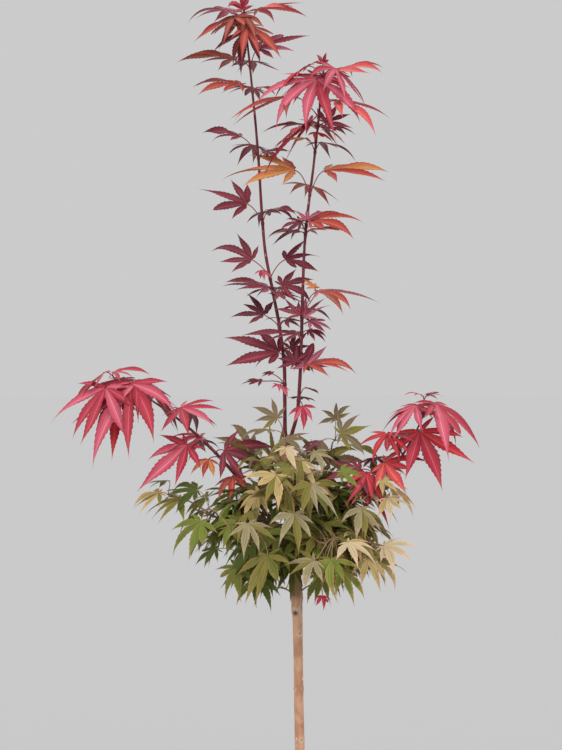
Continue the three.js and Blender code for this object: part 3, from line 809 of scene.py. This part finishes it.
# The same on the two arching boughs, with each palm measured from the bough's tip.
TASSELS = {
    "bough_red_left": (
        ((-42, 2, 24), "hang", 202, -34, 60, "crimson"),
        ((-30, -6, 24), "arch", 356, 22, 42, "crimson"),
        ((-36, -20, 8), "hang", 249, -56, 88, "crimson"),
        ((-8, -22, 12), "hang", 264, -54, 104, "crimson"),
        ((-4, -14, 14), "hang", 318, -26, 62, "crimson"),
        ((-26, 26, 18), "hang", 130, -24, 72, "crimson"),
        ((-2, 26, 14), "hang", 62, -24, 68, "crimson"),
        ((-24, -6, 0), "hang", 276, -58, 72, "scarlet"),
        ((12, 14, 0), "hang", 40, -34, 58, "wine"),
        ((44, -6, -14), "half", 322, -6, 66, "crimson"),
        ((50, 24, -18), "hang", 70, -16, 56, "wine"),
        ((51, -14, -54), "half", 212, -38, 68, "crimson"),
        ((64, 4, -46), "arch", 184, 4, 54, "crimson"),
        ((60, 20, -52), "hang", 112, -20, 52, "wine"),
        ((91, -12, -60), "rise", 346, -14, 66, "wine"),
        ((100, -12, -88), "curl", 275, -16, 42, "ember"),
        ((74, -8, -70), "curl", 252, -30, 32, "amber"),
    ),
    "bough_red_right": (
        ((5, -6, 40), "hang", 200, 24, 22, "crimson"),
        ((12, -6, 40), "hang", 336, 24, 24, "rose"),
        ((-2, -12, 29), "hang", 240, -30, 58, "rose"),
        ((20, -10, 31), "hang", 312, -32, 84, "crimson"),
        ((4, 16, 28), "hang", 118, -24, 60, "crimson"),
        ((22, 18, 22), "hang", 40, -24, 60, "crimson"),
        ((2, -14, 1), "half", 294, -46, 78, "scarlet"),
        ((-8, 20, -2), "hang", 96, -20, 54, "wine"),
        ((-33, -12, -2), "hang", 256, -48, 50, "scarlet"),
        ((-28, -4, -3), "arch", 346, 2, 48, "scarlet"),
        ((-36, -10, -33), "half", 330, -6, 58, "flame"),
        ((-44, 18, -30), "hang", 84, -16, 50, "wine"),
        ((-62, -16, -40), "fan", 208, -10, 52, "wine"),
        ((-56, -18, -44), "hang", 284, -50, 50, "scarlet"),
        ((-54, -16, -62), "hang", 304, -36, 52, "crimson"),
    ),
}

# Each of these boughs is carried on to these places from its tip, as it grows thinner.
SPURS = {"bough_red_left": ((-16, -1, 7), (-30, -1, 10)), "bough_red_right": ((6, 0, 14), (10, 1, 24))}
SPUR_RADII = (0.95 * MM, 0.8 * MM, 0.65 * MM)
FIRST_NODE = 10 * MM  # from the foot of an arching bough
STALK_REACH, STALK_LEAN = 14 * MM, 6 * MM  # from a palm back to its node, against its heading and footwards


def grow_placed_leaf(blades, stalks, start, palm, habit, turn, climb, length, tint, thick):
    """A leaf and its stalk, from a row of the tables."""
    style, lean, droop = HABITS[habit]
    middle = heading(turn, climb)
    face = UP * math.cos(math.radians(lean)) + FRONT * math.sin(math.radians(lean)) + jitter(0.3)
    leaving = unit(unit(palm - start) + 0.5 * UP)
    add_leaf(blades, palm, middle, face, length * MM, style, tint, droop * rng.uniform(0.85, 1.15))
    add_stalk(stalks, start, leaving, palm, middle, thick)


def masses_of(side):
    """The CAD masses that a limb's leaves stand for."""
    return sorted(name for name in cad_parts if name.startswith(f"leaves_{side}_"))


def grow_leaders():
    for leader, whorls in WHORLS.items():
        reseed(SEEDS[leader])
        limb = limbs[leader]
        blades, nodes = Piece(), []
        for height, *leaves in whorls:
            at = limb.at_height(height * MM)
            nodes.append(at)
            node = limb.place(at)[0]
            for offset, *shape in leaves:
                palm = node + np.array(offset) * MM
                grow_placed_leaf(blades, red_stalks, node, palm, *shape, thick=0.55)
        masses = masses_of(leader.removeprefix("leader_"))
        blades.make(f"foliage_{leader}", leaf_finishes, "burgundy_leaves", *masses)
        bark = Piece()
        add_bark(bark, limb, DARK_SIDES, node_relief(nodes, 0.55 * MM), sunk=3 * MM, collar=0.9 * MM)
        bark.make(f"bark_{leader}", [dark_bark], "dark_bark", leader)


def grow_red_boughs():
    for bough in RED_BOUGHS:
        reseed(SEEDS[bough])
        limb = limbs[bough]
        tip = limb.place(limb.length)[0]
        spur = np.array([tip, *(tip + np.array(step) * MM for step in SPURS[bough])])
        points = np.concatenate((limb.points[:-1], spur))
        shoot = Limb(points, np.concatenate((limb.radii[:-1], SPUR_RADII)))
        blades, nodes = Piece(), []
        for offset, habit, turn, *shape in TASSELS[bough]:
            palm = tip + np.array(offset) * MM
            at = max(FIRST_NODE, shoot.nearest(palm - heading(turn) * STALK_REACH) - STALK_LEAN)
            nodes.append(at)
            node = shoot.place(at)[0]
            grow_placed_leaf(blades, red_stalks, node, palm, habit, turn, *shape, thick=0.6)
        side = bough.removeprefix("bough_")
        blades.make(f"foliage_{side}", leaf_finishes, "crimson_leaves", *masses_of(side))
        bark = Piece()
        add_bark(bark, shoot, DARK_SIDES, node_relief(nodes, 0.4 * MM), sunk=5 * MM, collar=1.2 * MM)
        bark.make(f"bark_{side}", [dark_bark], "dark_bark", bough)


# ---- The green head ----

HEART = np.array((-12, 0, 668)) * MM
# For each mass: how many shoots it has, and the tints of its inner and its outer leaves. The inner tints
# are darker, partly their own deeper green and partly painted shade inside the head.
CLUSTERS = {
    "leaves_heart_left": (6, ("deep", "moss", "deep"), ("moss", "olive", "fresh")),
    "leaves_heart_right": (8, ("deep", "moss"), ("olive", "straw", "moss")),
    "leaves_low_left": (7, ("moss", "deep"), ("fresh", "moss", "olive")),
    "leaves_low_right": (9, ("olive", "straw"), ("blush", "straw", "sage")),
    "leaves_low_back": (6, ("deep", "moss"), ("moss", "fresh")),
    "leaves_left": (2, ("moss", "fresh"), ("olive", "fresh", "olive")),
    "leaves_right": (8, ("olive", "moss"), ("blush", "straw", "sage")),
    "leaves_front_left": (4, ("moss", "deep"), ("olive", "fresh", "moss")),
    "leaves_front_right": (6, ("olive", "moss"), ("blush", "straw", "straw", "sage")),
    "leaves_back_left": (6, ("deep", "moss"), ("moss", "olive", "fresh")),
    "leaves_back_right": (7, ("deep", "moss"), ("olive", "sage", "straw")),
    "leaves_back": (5, ("moss", "deep"), ("olive", "moss", "sage")),
    "leaves_front": (4, ("moss", "deep"), ("olive", "straw", "moss")),
    "leaves_upper_left": (1, ("olive", "moss"), ("bronze",)),
    "leaves_upper_right": (1, ("olive", "bronze"), ("bronze",)),
}
# The shoots that show at the front: each one's end from the heart of the head, and then its leaves,
# which are written as a leader's are.
SHOOTS = (
    ((-130, -12, 49),
     ((-9, -8, 3), "droop", 190, -16, 46, "straw"),
     ((14, -18, -2), "droop", 204, -14, 54, "olive"),
     ((-3, 16, 14), "droop", 178, 4, 32, "olive"),
     ((13, 22, 4), "droop", 120, 0, 36, "moss")),
    ((-83, -45, 38),
     ((-8, -17, -10), "droop", 236, -46, 54, "fresh"),
     ((22, -21, -16), "droop", 300, -16, 42, "moss"),
     ((-14, 9, 19), "droop", 184, 6, 44, "deep")),
    ((-49, -62, -7),
     ((-4, -18, -9), "droop", 226, -40, 42, "moss"),
     ((18, -24, -18), "droop", 252, -48, 42, "deep"),
     ((-26, 4, 5), "droop", 200, -12, 32, "deep")),
    ((-25, -88, 11),
     ((4, -14, -12), "droop", 258, -54, 60, "olive"),
     ((-15, -16, 20), "droop", 306, -34, 46, "sage")),
    ((3, -88, 55),
     ((3, -18, -14), "droop", 280, -50, 46, "sage"),
     ((-15, -8, 24), "droop", 238, -34, 56, "straw")),
    ((20, -70, 77),
     ((3, -24, -8), "droop", 290, -44, 50, "sage"),
     ((34, -2, 3), "droop", 348, 4, 34, "fresh"),
     ((-17, -14, 7), "droop", 200, 6, 40, "olive")),
    ((46, -80, 13),
     ((-3, -20, -18), "droop", 264, -38, 48, "lime"),
     ((14, -12, -2), "droop", 326, -14, 46, "blush"),
     ((-21, -24, -18), "droop", 206, -16, 44, "sage"),
     ((-12, -20, -54), "curl", 280, -30, 18, "crimson"),
     ((-13, 0, -38), "droop", 258, -46, 38, "moss"),
     ((8, 8, -34), "droop", 302, -42, 44, "lime")),
    ((90, -48, 2),
     ((-7, -18, -12), "droop", 296, -44, 44, "straw"),
     ((10, -6, -1), "droop", 326, 2, 44, "blush"),
     ((6, 8, -21), "droop", 340, -30, 40, "straw")),
    ((92, -24, 51),
     ((6, -12, 17), "droop", 350, 8, 38, "blush"),
     ((13, -16, -2), "droop", 320, -20, 42, "blush"),
     ((-15, -32, -11), "droop", 288, -44, 48, "sage")),
    ((94, -4, 68),
     ((10, -4, 12), "droop", 352, 10, 46, "blush"),
     ((16, -10, -8), "droop", 328, -26, 48, "straw"),
     ((-8, -16, 0), "droop", 288, -36, 46, "sage"),
     ((2, 14, 6), "droop", 20, 0, 44, "olive")),
    ((-4, -22, 115),
     ((-8, -6, 18), "face", 160, 40, 34, "bronze"),
     ((-15, -8, 6), "droop", 184, 8, 40, "bronze"),
     ((1, -14, -3), "face", 300, -14, 38, "bronze")),
    ((6, -40, 92),
     ((-8, -16, 12), "droop", 288, -30, 34, "blush"),
     ((8, -18, -2), "droop", 254, -40, 42, "straw"),
     ((22, -8, 6), "droop", 340, -10, 38, "sage"),
     ((-18, -4, 2), "droop", 190, -12, 36, "olive")),
    ((51, -20, 109),
     ((0, -6, 23), "face", 250, 78, 30, "bronze"),
     ((5, -16, 8), "face", 356, 14, 42, "bronze"),
     ((-18, -12, 0), "droop", 190, -6, 26, "plum"),
     ((18, 12, -6), "droop", 20, 6, 38, "olive")),
)
SHOOT_NODES = (0.55, 1.0)
SHOOT_START = 8 * MM  # from the foot of its bearer at the least
SHOOT_SLANT = (4, 22)  # how much nearer that foot a shoot leaves than its end's nearest place
SHOOT_RADII = (1.0 * MM, 0.6 * MM)
SHOOT_STEPS = 9
TARGET_SHARE = 0.62  # how far out in its mass a shoot may end
TRIES = 30  # for each shoot's end, of which the one with the most room is taken
LEAF_LENGTHS = (36, 52)
STALK_LENGTHS = (12, 26)
OVERHANG = 6 * MM  # how far leaves may stand out of the box of their mass
HEAD_REACH = np.array((136, 122, 132)) * MM  # from the heart to the outline of the leaves above it
HEAD_DROP = np.array((126, 114, 76)) * MM  # the same below it
NODE_SHARE = 0.7  # the share of that reach within which the shoots end
OUTLINE = (0.74, 1.1)  # the shares of that reach between which each shoot's own limit lies
DEPTHS = np.array((150, 130, 100)) * MM  # from the heart, where a leaf's depth counts as 1
OUTER_DEPTHS = (0.5, 0.75)  # the depths between which inner leaves give way to outer ones
SHOULDER = (700 * MM, 800 * MM)  # between these heights hanging leaves give way to spreading ones
shoot_ends = [HEART]


def within_head(spot, share):
    """The spot, or if it lies past a share of the head's reach the place there in the same direction."""
    out = spot - HEART
    reach = HEAD_REACH if out[2] > 0 else HEAD_DROP
    return HEART + out / max(1.0, np.linalg.norm(out / reach) / share)


def roomiest(middle, half):
    """Of some seeded spots in a mass, the one furthest from the shoots made so far."""
    out = unit(middle - HEART)
    spots = rng.normal(size=(TRIES, 3)) + 0.5 * out
    spots /= np.linalg.norm(spots, axis=1)[:, None]
    spots = middle + spots * half * TARGET_SHARE * rng.uniform(0.1, 1, (TRIES, 1)) ** 0.5
    spots = np.array([within_head(spot, NODE_SHARE) for spot in spots])
    gaps = np.linalg.norm(spots[:, None] - np.array(shoot_ends)[None], axis=2).min(1)
    return spots[gaps.argmax()]


def add_shoot(target):
    """A shoot from the nearest green bough, or from the trunk, to a target."""
    shoot_ends.append(target)
    bearer = min(
        (limbs[bough] for bough in ("trunk", *GREEN_BOUGHS)),
        key=lambda limb: np.linalg.norm(limb.place(limb.nearest(target)) - target),
    )
    at = max(SHOOT_START, bearer.nearest(target) - rng.uniform(*SHOOT_SLANT) * MM)
    start = bearer.place(at)[0]
    span = np.linalg.norm(target - start)
    leaving = unit(bearer.direction(at) * 0.6 + unit(target - start) + 0.3 * UP)
    arriving = unit(unit(target - start) * (1, 1, 0.4) + jitter(0.2))
    bends = (start + leaving * span * 0.4, target - arriving * span * 0.35)
    path = bezier(start, *bends, target, SHOOT_STEPS)
    radii = np.linspace(*SHOOT_RADII, len(path))
    add_stem(green_twigs, path, radii, 6)
    return Limb(path, radii)


def grow_placed_shoot(blades, end, leaves):
    """A shoot of the table, with all its leaves at its end."""
    node = HEART + np.array(end) * MM
    add_shoot(node)
    for offset, *shape in leaves:
        palm = node + np.array(offset) * MM
        grow_placed_leaf(blades, green_stalks, node, palm, *shape, thick=0.45)


def grow_shoot(blades, low, high, tints):
    """A shoot to somewhere in a mass, with two or three leaves at each of its nodes."""
    shoot = add_shoot(roomiest((low + high) / 2, (high - low) / 2))
    spin = rng.uniform(0, 180)
    limit = rng.uniform(*OUTLINE)
    for share in SHOOT_NODES:
        node = shoot.place(shoot.length * share * 0.999)[0]
        along = shoot.direction(shoot.length * share * 0.98)
        spin += 90
        count = 3 if share == 1.0 and rng.random() < 0.5 else 2
        for k in range(count):
            side = rolled(square_to(along, UP), along, spin + k * 360 / count + rng.uniform(-20, 20))
            leaving = unit(side + along * 0.6 + UP * 0.25)
            add_head_leaf(blades, node, leaving, low, high, limit, tints)


def add_head_leaf(blades, node, leaving, low, high, limit, tints):
    """A leaf that looks outwards, moved back so far that its tip stays in its mass and in the head."""
    palm = node + leaving * rng.uniform(*STALK_LENGTHS) * MM
    length = rng.uniform(*LEAF_LENGTHS) * MM
    out = unit((palm - HEART) * (1, 1, 0.8))
    raised = ease(*SHOULDER, palm[2])
    middle = unit(leaving * 0.5 + out * 0.8 - UP * (0.75 - 0.8 * raised) + jitter(0.4))
    face = out * (0.85 - 0.2 * raised) + UP * (0.6 + 0.2 * raised) + jitter(0.4)
    reached = palm + middle * length * 0.8 - UP * length * 0.3
    allowed = within_head(np.clip(reached, low - OVERHANG, high + OVERHANG), limit * rng.uniform(0.86, 1))
    palm = palm + allowed - reached
    depth = np.linalg.norm((palm - HEART) / DEPTHS)
    # Leaves deep in the head take the darker inner tints, partly as painted shade.
    inner, outer = tints
    style, choice = (PALMATE, outer) if depth > rng.uniform(*OUTER_DEPTHS) else (INNER, inner)
    tint = choice[rng.integers(len(choice))]
    add_leaf(blades, palm, middle, face, length, style, tint, rng.uniform(0.5, 1.1))
    add_stalk(green_stalks, node, leaving, palm, middle, thick=0.45)


# The head's foliage is in four pieces, parted at a height and at the stem, by the middles of its masses.
PARTING = 678 * MM
HEAD_PIECES = ("foliage_low_left", "foliage_low_right", "foliage_high_left", "foliage_high_right")


def piece_of(middle):
    level = "high" if middle[2] >= PARTING else "low"
    side = "right" if middle[0] >= HEART[0] else "left"
    return f"foliage_{level}_{side}"


def grow_head():
    corners = {name: [np.array(corner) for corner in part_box(name)] for name in CLUSTERS}
    for piece_name in HEAD_PIECES:
        reseed(SEEDS[piece_name])
        blades = Piece()
        for end, *leaves in SHOOTS:
            if piece_of(HEART + np.array(end) * MM) == piece_name:
                grow_placed_shoot(blades, end, leaves)
        names = [name for name, (low, high) in corners.items() if piece_of((low + high) / 2) == piece_name]
        for name in names:
            shoots, *tints = CLUSTERS[name]
            for _ in range(shoots):
                grow_shoot(blades, *corners[name], tints)
        blades.make(piece_name, leaf_finishes, "green_leaves", *names)


def grow_bark():
    bark = Piece()
    add_bark(bark, trunk, TRUNK_SIDES, trunk_relief, marks=trunk_marks)
    bark.make("bark_trunk", [stem_bark], "bark", "trunk")
    bark = Piece()
    for bough in GREEN_BOUGHS:
        limb = limbs[bough]
        relief = node_relief(np.arange(BOUGH_NODE_START, limb.length, BOUGH_NODE_GAP), 0.3 * MM)
        add_bark(bark, limb, BOUGH_SIDES, relief, sunk=5 * MM, collar=1.1 * MM)
    bark.make("bark_green_boughs", [green_bark], "bark", *GREEN_BOUGHS)


# ---- Floor, light and camera ----

# Wide soft lamps, which light the floor evenly out to its edge: name, turn, climb, power and softness.
LAMPS = (("key", 296, 52, 1.25, 42), ("fill", 228, 30, 0.7, 60), ("back", 96, 48, 0.45, 60))
SKY = 0.6
FLOOR_TONE = 0.52
FLOOR_RADIUS = 40.0  # in metres, so that its edge is far away in every view
FLOOR_CORNERS = 96
CAMERA_PLACE = (-0.0195, -1.1, 0.8475)  # in metres
CAMERA_LENS = 48.0


def build_studio():
    mesh = bpy.data.meshes.new("floor")
    turn = np.linspace(0, 2 * math.pi, FLOOR_CORNERS, endpoint=False)
    rim = np.stack((FLOOR_RADIUS * np.cos(turn), FLOOR_RADIUS * np.sin(turn), 0 * turn), 1)
    mesh.from_pydata(rim.tolist(), [], [list(range(FLOOR_CORNERS))])
    material, _, shader = new_material("floor")
    set_inputs(shader, {
        "Base Color": (FLOOR_TONE, FLOOR_TONE, FLOOR_TONE, 1.0),
        "Roughness": 0.9,
        "Specular IOR Level": 0.0,
    })
    mesh.materials.append(material)
    show("floor", mesh)
    world = bpy.data.worlds.new("studio")
    world.use_nodes = True
    set_inputs(world.node_tree.nodes["Background"], {"Color": (1.0, 1.0, 1.0, 1.0), "Strength": SKY})
    bpy.context.scene.world = world
    for name, turn, climb, power, softness in LAMPS:
        lamp = bpy.data.lights.new(name, "SUN")
        lamp.energy = power
        lamp.angle = math.radians(softness)
        light = show(name, lamp)
        light.rotation_mode = "QUATERNION"
        light.rotation_quaternion = Vector(heading(turn, climb)).to_track_quat("Z", "Y")


def place_camera():
    lens = bpy.data.cameras.new("camera")
    lens.lens = CAMERA_LENS
    camera = show("camera", lens)
    camera.location = CAMERA_PLACE
    camera.rotation_euler = (math.pi / 2, 0, 0)  # level, to the back
    bpy.context.scene.camera = camera


TINT_ORDER = list(TINTS)
leaf_finishes = [
    leaf_material(f"{tint}_{zone}", colour, DULL_SHINE if tint in DULL_TINTS else RED_SHINE)
    for tint, colours in TINTS.items()
    for zone, colour in zip(ZONES, colours)
]
# Its graft colour darkens a band above the union: partly the bark's own, partly painted shade under the
# head.
stem_bark = bark_material(
    "stem_bark", ground=(248, 194, 158), tone=(216, 156, 122), pale=(250, 224, 196),
    rough=0.62, graft_and_shade=(150, 120, 86),
)
green_bark = bark_material(
    "green_bark", ground=(150, 118, 90), tone=(120, 96, 70), pale=(176, 150, 122), rough=0.6
)
dark_bark = bark_material(
    "dark_bark", ground=(150, 60, 72), tone=(112, 42, 56), pale=(190, 130, 124), rough=0.42
)
red_stalks, green_stalks, green_twigs = Piece(), Piece(), Piece()

place_camera()
build_studio()
grow_bark()
grow_leaders()
grow_red_boughs()
grow_head()
# Stems that stand in several pieces of foliage: a name, a skin with a young and an old colour, and a slot.
for stems, name, skin, young, old, slot in (
    (green_twigs, "twigs", "twig_skin", (146, 112, 84), (118, 92, 66), "bark"),
    (green_stalks, "leaf_stalks", "green_stalk", (176, 140, 112), (158, 128, 88), "green_leaves"),
    (red_stalks, "red_leaf_stalks", "red_stalk", (158, 58, 64), (122, 44, 54), "crimson_leaves"),
):
    stems.make(name, [stalk_material(skin, young, old)], slot)
bpy.context.scene.view_settings.view_transform = "Standard"
